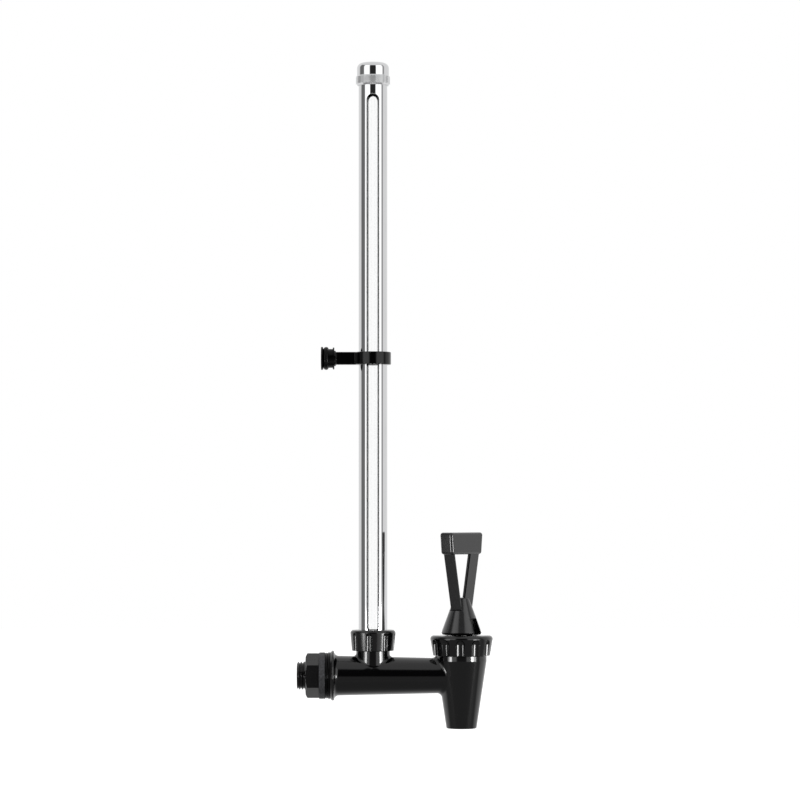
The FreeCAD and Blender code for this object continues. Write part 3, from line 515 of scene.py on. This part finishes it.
class TAP_OT_gauge(bpy.types.Operator):
    """Finish the shield in bright plate and the tube in clear glass"""

    bl_idname = "tap.gauge"
    bl_label = "Gauge shield and glass"

    def execute(self, context):
        colours = context.scene.tap_colours
        coat(plated("bright_plate", tuple(colours.plate)), "gauge_shield")
        coat(clear_glass("drawn_glass", tuple(colours.glass)), "gauge_glass")
        coat(rubber("cushion_rubber", tuple(colours.rubber)), "cap_cushion")
        return {"FINISHED"}


class TAP_OT_cap(bpy.types.Operator):
    """Build the plated cap with its knurled band and vent"""

    bl_idname = "tap.cap"
    bl_label = "Knurled cap"

    DIAMOND_STEPS = 8  # points along each side of a diamond of the knurl
    SHOULDER_STEPS = 12
    CROWN_STEPS = 8
    SHOULDER = 0.0032  # radius of the rounding between side and top
    CROWN = 0.0006  # rise of the top's dome
    ROOF = 0.0023  # thickness of the top
    VENT = 0.0008  # radius of the vent
    CORNER = 0.0015  # bevel between bore and roof
    EDGE = 0.0003  # bevel of the foot and the band
    FINE_EDGE = 0.0002  # bevel of the vent, and the height of the band's
    FILLET = 0.0001  # rounding over the band

    def execute(self, context):
        sizes = context.scene.tap_sizes
        low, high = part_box("cap")
        count = sizes.knurl_count * self.DIAMOND_STEPS
        rings = self.rings(sizes, low.z, high.z, (high.x - low.x) / 2)
        mesh = turned_mesh("knurled_cap", rings, count, GAUGE_X)
        finish = plated("cap_plate", tuple(context.scene.tap_colours.plate))
        mesh.materials.append(finish.material)
        cap = bpy.data.objects.new("knurled_cap", mesh)
        context.scene.collection.objects.link(cap)
        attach(cap, "vent_cap")
        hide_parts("cap")
        return {"FINISHED"}

    def rings(self, sizes, foot, top, band_radius):
        """The cap's rings, up its outside, in through the vent and down its bore."""
        bore = sizes.cap_bore
        band_foot = foot + sizes.band_start
        band_top = band_foot + sizes.band_height
        band_steps = sizes.knurl_rows * self.DIAMOND_STEPS
        plain_foot = band_top + self.EDGE + self.FINE_EDGE
        shoulder_foot = top - self.CROWN - self.SHOULDER
        shoulder_radius = sizes.cap_radius - self.SHOULDER
        crown_radius = (shoulder_radius**2 + self.CROWN**2) / (2 * self.CROWN)
        ceiling = top - self.ROOF

        def plain(radius, height):
            return lambda turn: (radius, height)

        def knurled(row):
            share = row / band_steps
            height = band_foot + sizes.band_height * share
            return lambda turn: (self.knurl(sizes, band_radius, turn, share), height)

        rings = [plain(bore, foot + self.EDGE), plain(bore + self.EDGE, foot)]
        rings.append(plain(bore + 2 * self.EDGE, foot))
        rings.append(plain(band_radius - self.EDGE, band_foot - self.FINE_EDGE))
        rings += [knurled(row) for row in range(band_steps + 1)]
        rings.append(plain(band_radius - self.EDGE, band_top + self.FINE_EDGE))
        rings.append(plain(sizes.cap_radius + self.FILLET, plain_foot))
        rings.append(plain(sizes.cap_radius, plain_foot + self.FILLET))
        for step in range(self.SHOULDER_STEPS + 1):
            turn = math.radians(90 * step / self.SHOULDER_STEPS)
            radius = shoulder_radius + self.SHOULDER * math.cos(turn)
            rings.append(plain(radius, shoulder_foot + self.SHOULDER * math.sin(turn)))
        for step in range(1, self.CROWN_STEPS + 1):
            share = step / self.CROWN_STEPS
            radius = shoulder_radius + (self.VENT + self.FINE_EDGE - shoulder_radius) * share
            rings.append(plain(radius, top - crown_radius + math.sqrt(crown_radius**2 - radius**2)))
        rings += [plain(self.VENT, top - self.FINE_EDGE), plain(self.VENT, ceiling)]
        rings += [plain(bore - self.CORNER, ceiling), plain(bore, ceiling - self.CORNER)]
        return rings

    def knurl(self, sizes, radius, turn, share):
        """The knurled band's radius, where two crossing rows of grooves leave pointed diamonds."""
        across = turn / math.tau * sizes.knurl_count
        along = share * sizes.knurl_rows
        to_groove = []
        for slant in (across + along, across - along):
            part = slant % 1.0
            to_groove.append(min(part, 1.0 - part))
        return radius - sizes.knurl_depth * (1 - 2 * min(to_groove))


class TAP_OT_bracket(bpy.types.Operator):
    """Finish the bracket in glossy black plastic and its grommet in rubber"""

    bl_idname = "tap.bracket"
    bl_label = "Bracket and grommet"

    def execute(self, context):
        colours = context.scene.tap_colours
        black = shade(colours.body, 0.4)
        bracket = moulded(
            "bracket_black_plastic", black, dull=0.12, wave=0.000006, soften=0.0003, bend=1.38,
        )
        coat(bracket, "bracket")
        coat(rubber("grommet_rubber", tuple(colours.rubber), dull=0.24), "grommet")
        return {"FINISHED"}


class TAP_OT_studio(bpy.types.Operator):
    """Set up the pale floor, the soft boxes, the white surroundings and the camera"""

    bl_idname = "tap.studio"
    bl_label = "Floor, lights and camera"

    BOX_TOP = 0.02  # height of the upper edge of the soft boxes at the sides
    BOX_DISTANCE = 0.55  # from the spout's axis to them
    # Name, bearing in degrees from the front, width, height and power
    BOXES = (
        ("left_near_box", -51.0, 0.10, 0.096, 0.535),
        ("left_far_box", -60.0, 0.08, 0.096, 0.087),
        ("right_near_box", 49.5, 0.12, 0.112, 1.3),
        ("right_far_box", 62.0, 0.12, 0.112, 0.4),
    )
    TOP_BOX = {"place": (0.05, 0.1, 1.3), "aim": (0.04, 0.0, 0.0), "size": (0.9, 0.9), "power": 4.0}
    FLOOR = {"left": -3.0, "right": 3.0, "front": -0.2, "rear": 4.0}
    CAMERA_OFFSET = 0.015  # from the gauge's axis to the camera's

    def execute(self, context):
        scene = context.scene
        sizes = scene.tap_sizes
        self.add_floor(-sizes.floor_drop, **self.FLOOR)
        self.add_world(scene)
        self.add_boxes()
        self.add_camera(scene, sizes.camera_distance, sizes.camera_height)
        scene.view_settings.view_transform = "Standard"
        return {"FINISHED"}

    def add_floor(self, level, left, right, front, rear):
        """A pale floor with the tap's shadow, white to the camera and to metal behind the tap."""
        mesh = bpy.data.meshes.new("floor")
        corners = [(left, front), (right, front), (right, rear), (left, rear)]
        mesh.from_pydata([corner + (level,) for corner in corners], [], [(0, 1, 2, 3)])
        floor = bpy.data.objects.new("floor", mesh)
        bpy.context.scene.collection.objects.link(floor)
        finish = Finish("pale_floor")
        finish.level(Roughness=0.9, Emission_Strength=1.0)
        seen, glossy, through = (
            is_ray(finish.tree, kind) for kind in ("Camera", "Glossy", "Transmission")
        )
        depth = node(finish.tree, "ShaderNodeSeparateXYZ", {}, {0: finish.place}, "Y")
        behind = depth.ramp(-0.02, 0.12)
        pale, dim = (0.5, 0.5, 0.5, 1.0), (0.25, 0.25, 0.25, 1.0)
        finish.feed("Base Color", mixed(finish.tree, glossy * (1.0 - behind), pale, dim))
        share = ((seen + through) * 0.7 + glossy * behind * 0.45).clamped()
        finish.feed("Emission Color", mixed(finish.tree, share, BLACK, WHITE))
        mesh.materials.append(finish.material)

    def add_world(self, scene):
        """White to the camera and through glass, and a studio with dark gaps for reflections."""
        world = bpy.data.worlds.new("studio")
        world.use_nodes = True
        scene.world = world
        tree = world.node_tree
        place = node(tree, "ShaderNodeTexCoord", output="Generated")
        x, y, z = (node(tree, "ShaderNodeSeparateXYZ", {}, {0: place}, axis) for axis in "XYZ")
        turn = node(tree, "ShaderNodeMath", {"operation": "ARCTAN2"}, {0: x, 1: y * -1.0})
        rise = node(tree, "ShaderNodeMath", {"operation": "ARCSINE"}, {0: z})
        bearing, height = turn * math.degrees(1), rise * math.degrees(1)
        box_end = (36.0, 44.0)  # the heights, in degrees, between which the side boxes fade out
        left_box = bearing.window(-74.0, -60.0, -28.0, -19.0) * height.window(-9.5, -4.5, *box_end)
        right_box = bearing.window(18.0, 26.0, 62.0, 86.0) * height.window(-14.5, -11.0, *box_end)
        boxes = (left_box + right_box) * 1.7
        back = (bearing.ramp(77.0, 93.0) + bearing.ramp(-117.0, -95.0, 1.0, 0.0)) * 0.95
        left_gap = bearing.window(-104.0, -96.0, -76.0, -68.0) * 0.2
        top = height.ramp(35.0, 45.0) * 0.9
        low = height.ramp(-5.0, -0.5, 1.0, 0.0) * 0.33 + height.ramp(-38.0, -28.0, 1.0, 0.0) * 0.5
        room = 0.028
        light = boxes.larger(back).larger(left_gap).larger(top).larger(low).larger(room)
        white = (is_ray(tree, "Camera") + is_ray(tree, "Transmission")).clamped()
        strength = light * (1.0 - white) + white
        shine = tree.nodes["Background"]
        shine.inputs["Color"].default_value = WHITE
        tree.links.new(strength.socket, shine.inputs["Strength"])

    def add_boxes(self):
        """Soft boxes at the sides, for the bright panels on the black pieces, and one overhead."""
        for name, bearing, width, height, power in self.BOXES:
            turn = math.radians(bearing)
            aim = Vector((SPOUT_X, 0.0, self.BOX_TOP - height / 2))
            place = aim + Vector((math.sin(turn), -math.cos(turn), 0.0)) * self.BOX_DISTANCE
            add_lamp(name, place, aim, (width, height), power)
        overhead = add_lamp("top_box", **self.TOP_BOX)
        overhead.visible_glossy = False

    def add_camera(self, scene, distance, height):
        """A level camera from the front, shifted so that the view frames the tap."""
        data = bpy.data.cameras.new("camera")
        camera = bpy.data.objects.new("camera", data)
        camera.location = (GAUGE_X + self.CAMERA_OFFSET, -distance, height)
        camera.rotation_euler = (math.radians(90), 0.0, 0.0)
        view_width = VIEW_SIZE * PIXEL
        middle_x = (VIEW_SIZE / 2 - VIEW_ORIGIN[0]) * PIXEL
        middle_z = (VIEW_ORIGIN[1] - VIEW_SIZE / 2) * PIXEL
        data.sensor_width = 36.0
        data.lens = data.sensor_width * distance / view_width
        data.shift_x = (middle_x - camera.location.x) / view_width
        data.shift_y = (middle_z - camera.location.z) / view_width
        scene.collection.objects.link(camera)
        scene.camera = camera


class TAP_PT_panel(bpy.types.Panel):
    """Lists the tap's pieces, sizes and colours"""

    bl_idname = "TAP_PT_panel"
    bl_label = "Dispenser tap"
    bl_space_type = "VIEW_3D"
    bl_region_type = "UI"
    bl_category = "Tap"

    def draw(self, context):
        for group in (context.scene.tap_sizes, context.scene.tap_colours):
            for name in group.__annotations__:
                self.layout.prop(group, name)
        for operator in OPERATORS:
            self.layout.operator(operator.bl_idname)


OPERATORS = (
    TAP_OT_body, TAP_OT_handle, TAP_OT_clamp, TAP_OT_valve,
    TAP_OT_gauge, TAP_OT_cap, TAP_OT_bracket, TAP_OT_studio,
)
CLASSES = (TapColours, TapSizes) + OPERATORS + (TAP_PT_panel,)


def register():
    for item in CLASSES:
        bpy.utils.register_class(item)
    bpy.types.Scene.tap_colours = bpy.props.PointerProperty(type=TapColours)
    bpy.types.Scene.tap_sizes = bpy.props.PointerProperty(type=TapSizes)


def unregister():
    del bpy.types.Scene.tap_sizes
    del bpy.types.Scene.tap_colours
    for item in reversed(CLASSES):
        bpy.utils.unregister_class(item)


def main():
    register()
    for operator in OPERATORS:
        group, name = operator.bl_idname.split(".")
        getattr(getattr(bpy.ops, group), name)()


if __name__ == "__main__":
    main()
